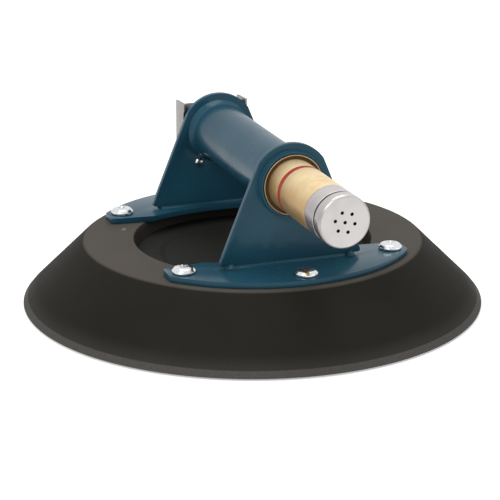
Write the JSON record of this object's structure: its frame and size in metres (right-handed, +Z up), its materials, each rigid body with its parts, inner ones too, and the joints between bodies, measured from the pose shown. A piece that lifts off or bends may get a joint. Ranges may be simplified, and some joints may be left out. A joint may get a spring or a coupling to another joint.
{
  "type": "suction_cup_lifter",
  "caption": "Hand vacuum lifter: a black rubber suction cup under a blue steel handle with a brass plunger pump and a release lever",
  "frame": {"origin": "centre of the cup's round sealing face, on the surface that the lifter stands on", "axes": "+Z up along the cup's axis, the handle tube along Y, the pump plunger at -Y and the release lever at +Y, +X to the right seen from the plunger's end"},
  "size_m": [0.254, 0.2575, 0.1027],
  "materials": {
    "black_rubber": "matte moulded rubber",
    "dark_plate": "dark coated steel",
    "blue_paint": "dark blue gloss enamel on steel",
    "zinc_steel": "bright zinc plating",
    "brass": "drawn brass",
    "stainless": "bare stainless steel",
    "black_plastic": "moulded black plastic",
    "red_paint": "red plastic",
    "aluminium": "turned aluminium",
    "white_felt": "felt"
  },
  "bodies": {
    "base": {"vacuum_cup": "black_rubber", "backing_plate": "dark_plate", "front_bracket": "blue_paint", "rear_bracket": "blue_paint", "foot_screw_front_left": "zinc_steel", "foot_screw_front_centre": "zinc_steel", "foot_screw_front_right": "zinc_steel", "foot_screw_rear_left": "zinc_steel", "foot_screw_rear_centre": "zinc_steel", "foot_screw_rear_right": "zinc_steel", "barrel_tube": "blue_paint", "pump_cylinder": "brass", "wiper_ring": "black_rubber", "return_spring": "stainless", "intake_valve_seat": "brass", "intake_valve_disc": "black_rubber", "valve_block": "black_plastic", "block_screw_left": "zinc_steel", "block_screw_right": "zinc_steel", "release_valve_bush": "brass", "release_spring": "stainless", "lever_pivot_left": "zinc_steel", "lever_pivot_right": "zinc_steel", "air_hose": "black_rubber", "cup_nipple": "brass"},
    "plunger": {"plunger_tube": "brass", "red_line_ring": "red_paint", "plunger_collar": "aluminium", "plunger_cap": "aluminium", "cap_filter": "white_felt", "piston": "black_plastic", "piston_seal": "black_rubber", "exhaust_valve_disc": "black_rubber"},
    "lever": {"release_lever": "stainless"},
    "stem": {"release_stem": "stainless", "stem_seal": "black_rubber"}
  },
  "joints": [
    {"name": "plunger_slide", "type": "slide", "parent": "base", "child": "plunger", "axis": [0, 1, 0], "range_m": [0, 0.05], "stiffness_N_per_m": 180, "springref_m": -0.04, "deforming": ["return_spring"]},
    {"name": "release_lever_hinge", "type": "hinge", "parent": "base", "child": "lever", "pos_m": [0, 0.0665, 0.066], "axis": [1, 0, 0], "range_deg": [0, 3.5], "stiffness_Nm_per_rad": 0.9, "springref_deg": -4.01},
    {"name": "release_stem_slide", "type": "slide", "parent": "base", "child": "stem", "axis": [0, -1, 0], "range_m": [0, 0.00095], "deforming": ["release_spring"]}
  ],
  "couplings": [
    {"joint": "release_stem_slide", "follows": "release_lever_hinge", "m_per_rad": 0.0152}
  ]
}
